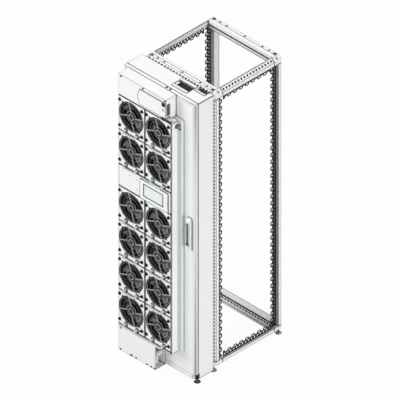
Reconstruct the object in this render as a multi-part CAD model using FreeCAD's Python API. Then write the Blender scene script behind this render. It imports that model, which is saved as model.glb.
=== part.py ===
import FreeCAD
import Part
import math
import os

from FreeCAD import Vector

# Rear door heat exchanger on the open frame of a server rack.
# Millimetres, +Z up, origin on the floor under the middle of the whole object.
# The door hangs on the -Y side, with its hinges on the -X side.

# Rack frame
rack_left = -290.0
rack_right = 300.0
rack_face = -155.0
rack_far = 435.0
frame_bottom = 22.0
frame_top = 2022.0
chamfer = 23.0
wall = 2.5
post_side = 48.0
post_step = 20.0
post_flange = 92.0
corner_height = 50.0
corner_length = 78.0
rail_width = 30.0
rail_fold = 24.0
rail_flange_in = 13.0
rail_flange_drop = 88.0
beam_width = 70.0
top_lip_drop = 55.0
bottom_lip_rise = 71.0

# Levelling feet
foot_radius = 21.0
foot_plate = 5.0
foot_nut_radius = 12.0
foot_nut_top = 11.0
foot_inset = 23.0
stud_radius = 6.0
hood_foot_x = 292.0
hood_foot_y = -283.0
hood_stud_top = 53.0
foot_ear_width = 23.0
foot_ear_reach = 12.0

# Hood, the sheet metal sleeve between rack and door
hood_half = 300.0
hood_front = -281.0
hood_sheet = 2.0
hood_top_z = 2020.0
hood_front_lip = 25.0
hood_rear_lip = 33.0
hood_rear_drop = 46.0
wide_entry = (55.0, 173.0, -235.0, -186.0)
wide_entry_frame = (46.0, 176.0, -259.0, -159.0)
narrow_entry = (195.0, 265.0, -183.0, rack_face)
narrow_entry_frame = (185.0, 270.0, -203.0, rack_face)
roll_depth = 16.0
roll_height = 25.0

# Door leaf
door_back = -286.0
door_front = -311.0
door_bottom = 30.0
door_top = 2022.0
door_edge_radius = 15.0
notch_width = 22.0
notch_top = 58.0
air_opening = 190.0
skin = 2.0
door_return = 12.0

# Hinges
hinge_axis_x = -309.0
hinge_axis_y = -283.5
hinge_heights = (250.0, 1000.0, 1750.0)
hinge_length = 80.0
knuckle_radius = 6.0
hinge_pin_radius = 3.0
running_clearance = 0.05
knuckle_gap = 1.0
hinge_plate = 2.5
hinge_plate_reach = 40.0

# Fan wall on the door
wall_front = -396.0
base_front = -333.0
base_left = -276.0
base_right = 208.0
housing_left = -255.0
housing_right = 187.0
housing_bottom = 199.0
housing_top = 1869.0
plate_thickness = 3.0
module_lefts = (-254.0, -30.0)
module_width = 217.0
module_pitch = 250.0
module_height = 249.0
fan_centres_x = (-148.5, 77.5)
fan_centre_drop = 115.0
band_height = 157.0
rows_above_band = 2
rows_below_band = 4
divider_offset = 3.5
divider_lip = 22.0

# Fan
fan_opening_radius = 100.0
opening_sides = 24
bell_radius = 98.0
bell_sides = 16
boss_radius = 27.0
boss_sides = 12
guard_ring_radii = (67.0, 72.0)
guard_ring_sides = 12
strut_width = 7.0
strut_lean = 22.0
boss_front = -398.0
boss_back = -392.0
rotor_front = -386.0
rotor_back = -348.0
rotor_hub_radius = 34.0
rotor_hub_sides = 12
rotor_tip_radius = 94.0
rotor_pin_radius = 4.0
pin_overrun = 4.0
bore_sides = 8
blade_count = 5
blade_thickness = 3.0

# Handles of the fan modules
handle_feet = (63.0, 157.0)
handle_bar = 10.0
handle_front = -435.0
handle_rise = 22.5
handle_corner = 8.0

# Boxes and panels on the door
control_right = 143.0
cover_left = -93.0
cover_z = (1885.0, 1998.0)
cover_thickness = 3.0
vent_y = (-389.0, -364.0)
vent_z = (1905.0, 1985.0)
display_x = (-75.0, 163.0)
display_z = (1212.0, 1354.0)
screen_x = (-44.0, 122.0)
screen_z = (1238.0, 1328.0)
panel_rise = 4.0
lower_box_right = 54.0
lower_box_bottom = 22.0
pull_x = (240.0, 277.0)
pull_z = (955.0, 1192.0)
pull_depth = 24.0
pull_slope = 20.0
connector_size = 24.0
gland_y = -349.0
gland_z = 1835.0
elbow_radius = 15.0
elbow_places = ((-30.0, 140.0), (22.0, 100.0))
elbow_y = -362.0

# Coil behind the door
coil_x = (-250.0, 250.0)
coil_z = (60.0, 1985.0)
coil_back = -215.0
core_right = 212.0
fin_pitch = 38.0
fin_thickness = 2.0
fin_web = 1.5
header_radius = 14.0
header_wall = 1.5
header_sides = 12

rack_middle = Vector((rack_left + rack_right) / 2, (rack_face + rack_far) / 2, (frame_bottom + frame_top) / 2)
along_x = Vector(1, 0, 0)
along_y = Vector(0, 1, 0)
along_z = Vector(0, 0, 1)

os.makedirs("parts", exist_ok=True)


def save(name, shapes):
    """Write the solids of one piece to its own file."""
    shape = shapes[0] if len(shapes) == 1 else Part.makeCompound(shapes)
    shape.exportStep("parts/" + name + ".step")


def box(x, y, z):
    """A block between two values on each axis."""
    return Part.makeBox(x[1] - x[0], y[1] - y[0], z[1] - z[0], Vector(x[0], y[0], z[0]))


def rod(radius, start, end):
    """A round bar between two points."""
    run = Vector(*end) - Vector(*start)
    return Part.makeCylinder(radius, run.Length, Vector(*start), run)


def ring_of_points(radius, sides, centre=(0, 0)):
    """The corners of a regular polygon, one corner on each side of the first axis."""
    corners = []
    for step in range(sides):
        angle = 2 * math.pi * (step + 0.5) / sides
        corners.append((centre[0] + radius * math.cos(angle), centre[1] + radius * math.sin(angle)))
    return corners


def prism(points, axis, start, end):
    """A straight bar whose section is a polygon in the plane across the axis."""
    corners = []
    for a, b in points:
        if axis == "x":
            corners.append(Vector(start, a, b))
        elif axis == "y":
            corners.append(Vector(a, start, b))
        else:
            corners.append(Vector(a, b, start))
    direction = {"x": along_x, "y": along_y, "z": along_z}[axis]
    face = Part.Face(Part.makePolygon(corners + [corners[0]]))
    return face.extrude(direction * (end - start))


def join(shapes):
    """One solid from shapes that share faces or volume."""
    whole = shapes[0]
    for shape in shapes[1:]:
        whole = whole.fuse(shape)
    return whole.removeSplitter().Solids[0]


def to_right(shape):
    return shape.mirror(rack_middle, along_x)


def to_far(shape):
    return shape.mirror(rack_middle, along_y)


def to_bottom(shape):
    return shape.mirror(rack_middle, along_z)


def post():
    """The rolled post of the left corner on the door side: a tube with one flange along the rail."""
    outer = post_step + wall
    outline = [
        (chamfer, 0), (post_side, 0), (post_side, post_side), (outer, post_side),
        (outer, post_flange), (post_step, post_flange), (post_step, post_side),
        (0, post_side), (0, chamfer),
    ]
    near = chamfer + wall * (math.sqrt(2) - 1)
    reach = post_side - wall
    hollow = [(near, wall), (reach, wall), (reach, reach), (wall, reach), (wall, near)]
    low = frame_bottom + corner_height
    high = frame_top - corner_height
    bar = prism([(rack_left + u, rack_face + v) for u, v in outline], "z", low, high)
    return bar.cut(prism([(rack_left + u, rack_face + v) for u, v in hollow], "z", low, high))


def top_side_rail():
    """The left top rail: its inner face folds in to a flange that hangs between the posts."""
    outer = rail_flange_in + wall
    outline = [
        (chamfer, 0), (rail_width, 0), (rail_width, rail_fold), (outer, corner_height),
        (outer, rail_flange_drop), (rail_flange_in, rail_flange_drop),
        (rail_flange_in, corner_height), (0, corner_height), (0, chamfer),
    ]
    near = chamfer + wall * (math.sqrt(2) - 1)
    across = rail_width - wall
    reach = corner_height - wall
    fold_length = math.hypot(rail_width - outer, corner_height - rail_fold)
    lean = (rail_width - outer) / (corner_height - rail_fold)
    shift = wall * fold_length / (corner_height - rail_fold)
    fold_low = rail_fold + (wall - shift) / lean
    fold_in = rail_width - shift - (reach - rail_fold) * lean
    hollow = [
        (near, wall), (across, wall), (across, fold_low), (fold_in, reach),
        (wall, reach), (wall, near),
    ]
    start = rack_face + corner_length
    end = rack_far - corner_length
    bar = prism([(rack_left + u, frame_top - w) for u, w in outline], "y", start, end)
    bar = bar.cut(prism([(rack_left + u, frame_top - w) for u, w in hollow], "y", start, end))
    side = (rack_left + rail_flange_in - 1, rack_left + outer + 1)
    drop = (frame_top - rail_flange_drop - 1, frame_top - corner_height)
    near_end = box(side, (start - 1, rack_face + post_flange + 1), drop)
    far_end = box(side, (rack_far - post_flange - 1, end + 1), drop)
    return bar.cut(near_end).cut(far_end)


def top_cross_beam(lip_drop):
    """The top beam on the door side, a closed section with a lip inside the rack."""
    y0 = rack_face
    near = chamfer + wall * (math.sqrt(2) - 1)
    outline = [
        (chamfer, 0), (beam_width, 0), (beam_width, lip_drop), (beam_width - wall, lip_drop),
        (beam_width - wall, corner_height), (0, corner_height), (0, chamfer),
    ]
    hollow = [
        (near, wall), (beam_width - wall, wall), (beam_width - wall, corner_height - wall),
        (wall, corner_height - wall), (wall, near),
    ]
    start = rack_left + rail_width
    end = rack_right - rail_width
    bar = prism([(y0 + v, frame_top - w) for v, w in outline], "x", start, end)
    return bar.cut(prism([(y0 + v, frame_top - w) for v, w in hollow], "x", start, end))


def corner_piece():
    """The cast corner where a post, a rail and a beam meet."""
    x0 = rack_left
    y0 = rack_face
    z0 = frame_top
    plan = [
        (x0 + chamfer, y0), (x0 + rail_width, y0), (x0 + rail_width, y0 + corner_length),
        (x0, y0 + corner_length), (x0, y0 + chamfer),
    ]
    front = [
        (x0 + chamfer, z0), (x0 + rail_width, z0), (x0 + rail_width, z0 - corner_height),
        (x0, z0 - corner_height), (x0, z0 - chamfer),
    ]
    side = [
        (y0 + chamfer, z0), (y0 + corner_length, z0), (y0 + corner_length, z0 - corner_height),
        (y0, z0 - corner_height), (y0, z0 - chamfer),
    ]
    piece = prism(plan, "z", z0 - corner_height, z0)
    piece = piece.common(prism(front, "y", y0, y0 + corner_length))
    return piece.common(prism(side, "x", x0, x0 + rail_width))


def levelling_foot(x, y, top):
    """A round foot with its nut and its stud."""
    plate = prism(ring_of_points(foot_radius, 16, (x, y)), "z", 0, foot_plate)
    nut = prism(ring_of_points(foot_nut_radius, 6, (x, y)), "z", foot_plate, foot_nut_top)
    stud = prism(ring_of_points(stud_radius, 8, (x, y)), "z", foot_nut_top, top)
    return join([plate, nut, stud])


def hood_side():
    """The right side sheet, folded in at the door and at the rack."""
    x0 = hood_half
    x1 = hood_half - hood_sheet
    outline = [
        (x0, hood_front), (x0, rack_face), (x0 - hood_rear_lip, rack_face),
        (x0 - hood_rear_lip, rack_face - hood_sheet), (x1, rack_face - hood_sheet),
        (x1, hood_front + hood_sheet), (x0 - hood_front_lip, hood_front + hood_sheet),
        (x0 - hood_front_lip, hood_front),
    ]
    sheet = prism(outline, "z", frame_bottom + hood_sheet, hood_top_z - hood_sheet)
    notch = box((x0 - notch_width, x0), (hood_front, hood_front + 8), (frame_bottom, notch_top))
    return sheet.cut(notch)


def hood_cap(z, toward_middle, rear_drop, plan):
    """The level sheet that closes the hood above or below, with its two lips."""
    low, high = sorted((z, z + toward_middle * hood_sheet))
    cap = prism(plan, "z", low, high)
    lip_half = hood_half - hood_front_lip
    rear_half = hood_half - hood_rear_lip
    start = z + toward_middle * hood_sheet
    front_lip = box(
        (-lip_half, lip_half), (hood_front, hood_front + hood_sheet),
        sorted((start, z + toward_middle * hood_front_lip)),
    )
    rear_lip = box(
        (-rear_half, rear_half), (rack_face - hood_sheet, rack_face),
        sorted((start, z + toward_middle * rear_drop)),
    )
    return join([cap, front_lip, rear_lip])


def entry_hole(entry):
    """The space of a cable entry, through the sheet and the lip."""
    return box(entry[0:2], (entry[2], entry[3]), (hood_top_z - 60, hood_top_z + 10))


def entry_frame(outer, entry):
    """The thin frame round a cable entry."""
    plate = box(outer[0:2], outer[2:4], (hood_top_z, frame_top))
    return plate.cut(entry_hole(entry))


def hinge(height, moving):
    """One leaf of a hinge: a plate and its knuckles, and the pin in the fixed leaf."""
    x = hinge_axis_x
    y = hinge_axis_y
    plate_x = (-hood_half - hinge_plate, -hood_half)
    third = hinge_length / 3
    side = -1 if moving else 1
    start = y + side * (knuckle_radius + 3)
    plate = box(plate_x, sorted((start, y + side * hinge_plate_reach)), (height, height + hinge_length))
    if moving:
        plate = box(plate_x, sorted((start, door_front + 1)), (height, height + hinge_length))
        spans = [(height + third + knuckle_gap, height + 2 * third - knuckle_gap)]
    else:
        spans = [(height, height + third), (height + 2 * third, height + hinge_length)]
    pieces = [plate]
    for low, high in spans:
        knuckle = prism(ring_of_points(knuckle_radius, 12, (x, y)), "z", low, high)
        web = box((x, plate_x[1]), sorted((y + side * (knuckle_radius - hinge_plate), start)), (low, high))
        pieces.append(join([knuckle, web]))
    if moving:
        bore = rod(hinge_pin_radius + running_clearance, (x, y, height), (x, y, height + hinge_length))
        return join(pieces).cut(bore)
    pin = ring_of_points(hinge_pin_radius, 12, (x, y))
    pieces.append(prism(pin, "z", height, height + hinge_length))
    return join(pieces)


def module_bottoms():
    """The lower edges of the fan rows, from the top down."""
    tops = [housing_top - module_pitch * row for row in range(rows_above_band)]
    start = housing_top - module_pitch * rows_above_band - band_height
    tops += [start - module_pitch * row for row in range(rows_below_band)]
    return [top - module_pitch for top in tops]


def fan_places():
    """The middle of each fan, row by row."""
    places = []
    for bottom in module_bottoms():
        for x in fan_centres_x:
            places.append((x, bottom + module_pitch - fan_centre_drop))
    return places


def door_leaf():
    """The leaf, a tray rounded in front and folded in behind, open where the fans draw air."""
    leaf = box((-hood_half, hood_half), (door_front, door_back), (door_bottom, door_top))
    rounded = []
    for edge in leaf.Edges:
        middle = edge.CenterOfMass
        upright = abs(edge.tangentAt(edge.FirstParameter).z) > 0.9
        if abs(middle.y - door_front) < 0.1 and (upright or middle.z > door_top - 1):
            rounded.append(edge)
    leaf = leaf.makeFillet(door_edge_radius, rounded)
    inside = hood_half - door_edge_radius
    leaf = leaf.cut(box(
        (-inside, inside), (door_front + skin, door_back - skin),
        (notch_top + skin, door_top - door_edge_radius),
    ))
    rim = inside - door_return
    leaf = leaf.cut(box(
        (-rim, rim), (door_back - skin - 1, door_back + 1),
        (notch_top + skin + door_return, door_top - door_edge_radius - door_return),
    ))
    half = air_opening / 2
    for x, z in fan_places():
        through = (door_front - 1, door_front + skin + 1)
        leaf = leaf.cut(box((x - half, x + half), through, (z - half, z + half)))
    for x in ((-hood_half, -hood_half + notch_width), (hood_half - notch_width, hood_half)):
        leaf = leaf.cut(box(x, (door_front - 1, door_back + 1), (door_bottom, notch_top)))
    return leaf


def fan_base():
    """The wide flange of the fan wall, a tray with a round inlet for each fan."""
    base = box((base_left, base_right), (base_front, door_front), (housing_bottom, housing_top))
    base = base.cut(box(
        (base_left + skin, base_right - skin), (base_front + skin, door_front + 1),
        (housing_bottom + skin, housing_top - skin),
    ))
    for x, z in fan_places():
        bell = ring_of_points(bell_radius, bell_sides, (x, z))
        base = base.cut(prism(bell, "y", base_front - 1, base_front + skin + 1))
    return base


def fan_plate(left, bottom, x, z):
    """The front plate of one fan module."""
    top = bottom + module_pitch
    depth = (wall_front, wall_front + plate_thickness)
    plate = box((left, left + module_width), depth, (top - module_height, top))
    opening = ring_of_points(fan_opening_radius, opening_sides, (x, z))
    return plate.cut(prism(opening, "y", wall_front - 1, wall_front + plate_thickness + 1))


def ring(radii, sides, x, z):
    """A flat ring of the guard, in the plane of the plate."""
    back = wall_front + plate_thickness
    outer = prism(ring_of_points(radii[1], sides, (x, z)), "y", wall_front, back)
    return outer.cut(prism(ring_of_points(radii[0], sides, (x, z)), "y", wall_front, back))


def fan_guard(x, z):
    """The guard with its boss, rings, leaning struts and the pin that carries the rotor."""
    back = wall_front + plate_thickness
    pieces = [prism(ring_of_points(boss_radius, boss_sides, (x, z)), "y", boss_front, boss_back)]
    pieces.append(ring(guard_ring_radii, guard_ring_sides, x, z))
    opening = prism(ring_of_points(fan_opening_radius, opening_sides, (x, z)), "y", wall_front, back)
    for turn in range(4):
        strut = box(
            (x + boss_radius - 3, x + fan_opening_radius + 5),
            (wall_front, back),
            (z - strut_width / 2, z + strut_width / 2),
        )
        strut.rotate(Vector(x + boss_radius, 0, z), along_y, strut_lean)
        strut.rotate(Vector(x, 0, z), along_y, 45 + 90 * turn)
        pieces.append(strut.common(opening))
    pieces.append(rod(rotor_pin_radius, (x, boss_back, z), (x, rotor_back - pin_overrun, z)))
    return join(pieces)


def blade_section(radius, chord, pitch, sweep):
    """The four corners of a blade's section, in a plane across its length."""
    run = math.cos(math.radians(pitch)) * chord / 2
    rise = math.sin(math.radians(pitch)) * chord / 2
    middle = (rotor_front + rotor_back) / 2
    half = blade_thickness / 2
    return [
        Vector(radius, middle - rise - half, sweep - run),
        Vector(radius, middle + rise - half, sweep + run),
        Vector(radius, middle + rise + half, sweep + run),
        Vector(radius, middle - rise + half, sweep - run),
    ]


def faceted(sections):
    """A solid with flat faces through sections that have four corners each."""
    first = sections[0]
    last = sections[-1]
    faces = [
        Part.Face(Part.makePolygon(first + [first[0]])),
        Part.Face(Part.makePolygon(last + [last[0]])),
    ]
    for low, high in zip(sections, sections[1:]):
        for near in range(4):
            far = (near + 1) % 4
            faces.append(Part.Face(Part.makePolygon([low[near], low[far], high[far], low[near]])))
            faces.append(Part.Face(Part.makePolygon([low[near], high[far], high[near], low[near]])))
    return Part.Solid(Part.Shell(faces))


def fan_rotor():
    """The impeller about the origin of X and Z: a hub, twisted and swept blades, and its bore."""
    hub = prism(ring_of_points(rotor_hub_radius, rotor_hub_sides), "y", rotor_front, rotor_back)
    tip = math.sqrt(rotor_tip_radius ** 2 - 38 ** 2)
    blade = faceted([
        blade_section(22, 38, 38, 0),
        blade_section((rotor_hub_radius + tip) / 2, 52, 31, 4),
        blade_section(tip, 60, 24, 10),
    ])
    pieces = [hub]
    for turn in range(blade_count):
        copy = blade.copy()
        copy.rotate(Vector(0, 0, 0), along_y, 360 * turn / blade_count)
        pieces.append(copy)
    bore_corner = (rotor_pin_radius + running_clearance) / math.cos(math.pi / bore_sides)
    bore = ring_of_points(bore_corner, bore_sides)
    return join(pieces).cut(prism(bore, "y", rotor_front, rotor_back))


def fan_handle(left, bottom):
    """The bent handle of one fan module."""
    x0 = left + handle_feet[0] - handle_bar / 2
    x1 = left + handle_feet[1] + handle_bar / 2
    y0 = handle_front
    y1 = wall_front
    c = handle_corner
    t = handle_bar
    outline = [
        (x0, y1), (x0, y0 + c), (x0 + c, y0), (x1 - c, y0), (x1, y0 + c), (x1, y1),
        (x1 - t, y1), (x1 - t, y0 + t + 2), (x1 - t - 2, y0 + t), (x0 + t + 2, y0 + t),
        (x0 + t, y0 + t + 2), (x0 + t, y1),
    ]
    z = bottom + handle_rise
    return prism(outline, "z", z - t / 2, z + t / 2)


def control_cover():
    """The raised cover of the control box, bowed on its left edge."""
    low, high = cover_z
    bow = 18.0
    bottom_left = Vector(cover_left + bow, wall_front, low)
    top_left = Vector(cover_left + bow, wall_front, high)
    bottom_right = Vector(control_right, wall_front, low)
    top_right = Vector(control_right, wall_front, high)
    left_middle = Vector(cover_left, wall_front, (low + high) / 2)
    edges = [
        Part.LineSegment(bottom_left, bottom_right).toShape(),
        Part.LineSegment(bottom_right, top_right).toShape(),
        Part.LineSegment(top_right, top_left).toShape(),
        Part.Arc(top_left, left_middle, bottom_left).toShape(),
    ]
    return Part.Face(Part.Wire(edges)).extrude(Vector(0, -cover_thickness, 0))


def lower_box():
    """The box at the foot of the door, open at its right end and behind."""
    outer = box((housing_left, lower_box_right), (wall_front, door_front), (lower_box_bottom, housing_bottom))
    inside = box(
        (housing_left + wall, lower_box_right + 1),
        (wall_front + wall, door_front - wall),
        (lower_box_bottom + wall, housing_bottom - wall),
    )
    return outer.cut(inside)


def pipe_elbow(x, z):
    """A pipe end that comes out of the leaf inside the lower box and turns down."""
    level = prism(ring_of_points(elbow_radius, 12, (x, z)), "y", elbow_y, door_front - wall)
    mitre = Part.makePolygon([
        Vector(x - 40, elbow_y - elbow_radius, z + elbow_radius),
        Vector(x - 40, elbow_y + elbow_radius, z - elbow_radius),
        Vector(x - 40, elbow_y - elbow_radius, z - elbow_radius),
        Vector(x - 40, elbow_y - elbow_radius, z + elbow_radius),
    ])
    level = level.cut(Part.Face(mitre).extrude(Vector(80, 0, 0)))
    down = prism(ring_of_points(elbow_radius, 12, (x, elbow_y)), "z", lower_box_bottom + wall + 20, z)
    return join([level, down])


def door_pull():
    """The long handle of the door, sloped at both ends, with its grip recess."""
    low, high = pull_z
    front = door_front - pull_depth
    outline = [(door_front, low), (door_front, high), (front, high - pull_slope), (front, low + pull_slope)]
    body = prism(outline, "x", pull_x[0], pull_x[1])
    recess = box((pull_x[0] + 7, pull_x[1] - 7), (front - 1, front + 14), (low + 38, high - 38))
    return body.cut(recess)


def coil_casing():
    """The sheet frame round the coil."""
    outer = box(coil_x, (door_back, coil_back), coil_z)
    inner = box(
        (coil_x[0] + hood_sheet, coil_x[1] - hood_sheet),
        (door_back - 1, coil_back + 1),
        (coil_z[0] + hood_sheet, coil_z[1] - hood_sheet),
    )
    return outer.cut(inner)


def coil_core():
    """The finned block of the coil: upright fins, few and thick, on a web that stands for the tubes."""
    front = door_back + 2
    back = coil_back - 4
    middle = (front + back) / 2
    left = coil_x[0] + hood_sheet
    count = int((core_right - left) / fin_pitch)
    near_side = []
    far_side = []
    for number in range(count):
        x = left + number * fin_pitch
        x_end = x + fin_thickness
        near_side += [(x, middle - fin_web), (x, front), (x_end, front), (x_end, middle - fin_web)]
        far_side += [(x, middle + fin_web), (x, back), (x_end, back), (x_end, middle + fin_web)]
    near_side += [(core_right, middle - fin_web)]
    far_side += [(core_right, middle + fin_web)]
    return prism(near_side + far_side[::-1], "z", coil_z[0] + hood_sheet, coil_z[1] - hood_sheet)


# Rack frame
left_post = post()
save("post_left_door_side", [left_post])
save("post_right_door_side", [to_right(left_post)])
save("post_left_far_side", [to_far(left_post)])
save("post_right_far_side", [to_far(to_right(left_post))])

rail = top_side_rail()
save("top_side_rails", [rail, to_right(rail)])
save("bottom_side_rails", [to_bottom(rail), to_bottom(to_right(rail))])

beam = top_cross_beam(top_lip_drop)
low_beam = to_bottom(top_cross_beam(bottom_lip_rise))
save("top_cross_beams", [beam, to_far(beam)])
save("bottom_cross_beams", [low_beam, to_far(low_beam)])

corner = corner_piece()
top_corners = [corner, to_right(corner), to_far(corner), to_far(to_right(corner))]
save("corner_pieces", top_corners + [to_bottom(piece) for piece in top_corners])

foot = levelling_foot(rack_left + foot_inset, rack_face + foot_inset, frame_bottom)
save("rack_feet", [foot, to_right(foot), to_far(foot), to_far(to_right(foot))])

# Hood
right_side = hood_side()
left_side = right_side.mirror(Vector(0, 0, 0), along_x)
save("hood_right_side", [right_side])
save("hood_left_side", [left_side])

top_plan = [
    (-hood_half, hood_front), (hood_half, hood_front), (hood_half, rack_face), (-hood_half, rack_face),
]
cap = hood_cap(hood_top_z, -1, hood_rear_drop, top_plan)
save("hood_top", [cap.cut(entry_hole(wide_entry)).cut(entry_hole(narrow_entry))])
wide_frame = entry_frame(wide_entry_frame, wide_entry)
narrow_frame = entry_frame(narrow_entry_frame, narrow_entry)
save("cable_entry_frames", [wide_frame, narrow_frame])

roll_corner = 5.0
roll_low = hood_top_z - roll_height
roll_front = rack_face - roll_depth
roll_outline = [
    (roll_front, roll_low + roll_corner), (roll_front + roll_corner, roll_low), (rack_face, roll_low),
    (rack_face, hood_top_z), (roll_front + roll_corner, hood_top_z), (roll_front, hood_top_z - roll_corner),
]
save("entry_roll", [prism(roll_outline, "x", narrow_entry[0], narrow_entry[1])])

ear_in = hood_half - foot_ear_width
ear_out = hood_foot_y - foot_ear_reach
bottom_plan = [
    (-hood_half, ear_out), (-ear_in, ear_out), (-ear_in, hood_front), (ear_in, hood_front),
    (ear_in, ear_out), (hood_half, ear_out), (hood_half, rack_face), (-hood_half, rack_face),
]
base_cap = hood_cap(frame_bottom, 1, hood_rear_drop, bottom_plan)
hood_feet = []
for x in (-hood_foot_x, hood_foot_x):
    base_cap = base_cap.cut(prism(ring_of_points(stud_radius, 8, (x, hood_foot_y)), "z", 0, hood_stud_top))
    hood_feet.append(levelling_foot(x, hood_foot_y, hood_stud_top))
save("hood_bottom", [base_cap])
save("hood_feet", hood_feet)

# Hinges
save("hinge_fixed_leaves", [hinge(height, False) for height in hinge_heights])
save("hinge_moving_leaves", [hinge(height, True) for height in hinge_heights])

# Door and fan wall
save("door_leaf", [door_leaf()])
save("fan_base", [fan_base()])

wall_back = base_front
lid_back = wall_front + plate_thickness
housing_y = (lid_back, wall_back)
housing_z = (housing_bottom, housing_top)
save("fan_housing_left", [box((housing_left, housing_left + wall), housing_y, housing_z)])
save("fan_housing_right", [box((housing_right - wall, housing_right), housing_y, housing_z)])

inside_x = (housing_left + wall, housing_right - wall)
top_sheet = box(inside_x, housing_y, (housing_top - wall, housing_top))
bottom_sheet = box(inside_x, housing_y, (housing_bottom, housing_bottom + wall))
lowest_module = module_bottoms()[-1]
bottom_lip = box((housing_left, housing_right), (wall_front, lid_back), (housing_bottom, lowest_module))
save("fan_housing_ends", [top_sheet, join([bottom_sheet, bottom_lip])])

divider_x = module_lefts[1] - divider_offset
divider_z = (housing_bottom + wall, housing_top - wall)
lip_back = lid_back + skin
web = box((divider_x - wall / 2, divider_x + wall / 2), (lip_back, wall_back), divider_z)
lip = box((divider_x - divider_lip / 2, divider_x + divider_lip / 2), (lid_back, lip_back), divider_z)
save("fan_divider", [join([web, lip])])

plates = []
handles = []
for bottom in module_bottoms():
    z = bottom + module_pitch - fan_centre_drop
    for left, x in zip(module_lefts, fan_centres_x):
        plates.append(fan_plate(left, bottom, x, z))
        handles.append(fan_handle(left, bottom))
save("fan_plates", plates)
save("fan_handles", handles)
save("fan_guards", [fan_guard(x, z) for x, z in fan_places()])

rotor = fan_rotor()
for number, (x, z) in enumerate(fan_places(), 1):
    placed = rotor.copy()
    placed.translate(Vector(x, 0, z))
    save("fan_rotor_" + str(number).zfill(2), [placed])

# Display band
band_bottom = module_bottoms()[2] + module_pitch
band_top = band_bottom + band_height
band_z = (band_bottom + 0.5, band_top - 1)
save("band_plate", [box((module_lefts[0], housing_right), (wall_front, lid_back), band_z)])
panel = box(display_x, (wall_front - panel_rise, wall_front), display_z)
screen = box(screen_x, (wall_front - panel_rise + 0.5, wall_front - panel_rise + 1.5), screen_z)
seat = box(screen_x, (wall_front - panel_rise - 1, wall_front - panel_rise + 1.5), screen_z)
save("display_panel", [panel.cut(seat)])
save("display_screen", [screen])

# Boxes
control = box((housing_left, control_right), (wall_front, door_front), (housing_top, frame_top))
control_inside = box(
    (housing_left + skin, control_right - skin),
    (wall_front + skin, door_front + 1),
    (housing_top + skin, frame_top - skin),
)
vent = box((control_right - 3, control_right + 1), vent_y, vent_z)
save("control_box", [control.cut(control_inside).cut(vent)])
save("control_box_cover", [control_cover()])
save("lower_box", [lower_box()])
save("pipe_elbows", [pipe_elbow(x, z) for x, z in elbow_places])
block = box(
    (control_right, control_right + connector_size),
    (vent_y[0], vent_y[0] + connector_size),
    (housing_top, housing_top + connector_size),
)
save("connector_block", [block])
nut = prism(ring_of_points(15.0, 6, (gland_y, gland_z)), "x", housing_right, housing_right + 10)
dome = prism(ring_of_points(10.0, 12, (gland_y, gland_z)), "x", housing_right + 10, housing_right + 21)
save("cable_gland", [join([nut, dome])])
save("door_handle", [door_pull()])

# Coil
save("coil_casing", [coil_casing()])
save("coil_core", [coil_core()])
header_x = (core_right + coil_x[1] - hood_sheet) / 2
headers = []
for y in (door_back + 2 + header_radius + 2, coil_back - 4 - header_radius - 2):
    outer = ring_of_points(header_radius, header_sides, (header_x, y))
    pipe = prism(outer, "z", coil_z[0] + hood_sheet, coil_z[1] - hood_sheet)
    inner = ring_of_points(header_radius - header_wall, header_sides, (header_x, y))
    headers.append(pipe.cut(prism(inner, "z", coil_z[0] + 20, coil_z[1] - 20)))
save("coil_headers", headers)
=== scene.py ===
import math

import bmesh
import bpy
from mathutils import Matrix, Vector


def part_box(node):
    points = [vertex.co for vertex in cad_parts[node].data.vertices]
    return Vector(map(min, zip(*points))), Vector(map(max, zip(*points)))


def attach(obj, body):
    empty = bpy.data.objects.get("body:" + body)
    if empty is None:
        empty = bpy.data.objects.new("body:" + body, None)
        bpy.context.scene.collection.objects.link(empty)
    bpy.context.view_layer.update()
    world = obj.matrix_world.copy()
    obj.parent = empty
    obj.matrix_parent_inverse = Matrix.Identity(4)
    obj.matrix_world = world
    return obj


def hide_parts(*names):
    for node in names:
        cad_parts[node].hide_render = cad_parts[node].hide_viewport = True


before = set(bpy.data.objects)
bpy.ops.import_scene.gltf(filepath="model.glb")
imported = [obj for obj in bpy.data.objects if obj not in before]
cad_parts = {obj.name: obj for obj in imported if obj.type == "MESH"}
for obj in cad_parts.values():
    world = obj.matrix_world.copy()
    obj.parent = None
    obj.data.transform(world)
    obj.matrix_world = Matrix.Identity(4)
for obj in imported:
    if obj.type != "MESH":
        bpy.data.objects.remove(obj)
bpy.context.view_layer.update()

# Camera and studio
# The drawing is a true isometric view, so the camera is orthographic, 45 degrees round and 35.26 up.
# A pale floor and wide soft lamps stand in for the sheet that the object is drawn on.
view_centre = Vector((-0.0155, 0.0471, 1.0))
view_from = Vector((1, -1, 1)).normalized()
camera = bpy.data.objects.new("camera", bpy.data.cameras.new("camera"))
camera.data.type = "ORTHO"
camera.data.ortho_scale = 2.3697
camera.data.clip_end = 50
camera.location = view_centre + view_from * 8
camera.rotation_euler = (-view_from).to_track_quat("-Z", "Y").to_euler()
bpy.context.scene.collection.objects.link(camera)
bpy.context.scene.camera = camera
bpy.context.scene.view_settings.view_transform = "Standard"


def tint(code):
    """An sRGB hex colour as linear RGBA."""
    parts = [int(code[start:start + 2], 16) / 255 for start in (1, 3, 5)]
    linear = [part / 12.92 if part <= 0.04045 else ((part + 0.055) / 1.055) ** 2.4 for part in parts]
    return (*linear, 1.0)


def add(tree, kind, inputs, **settings):
    """Adds a node with its settings; an input is a value, or the socket that feeds it."""
    made = tree.nodes.new("ShaderNode" + kind)
    for name, value in settings.items():
        setattr(made, name, value)
    for name, value in inputs.items():
        if isinstance(value, bpy.types.NodeSocket):
            tree.links.new(value, made.inputs[name])
        else:
            made.inputs[name].default_value = value
    return made


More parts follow.
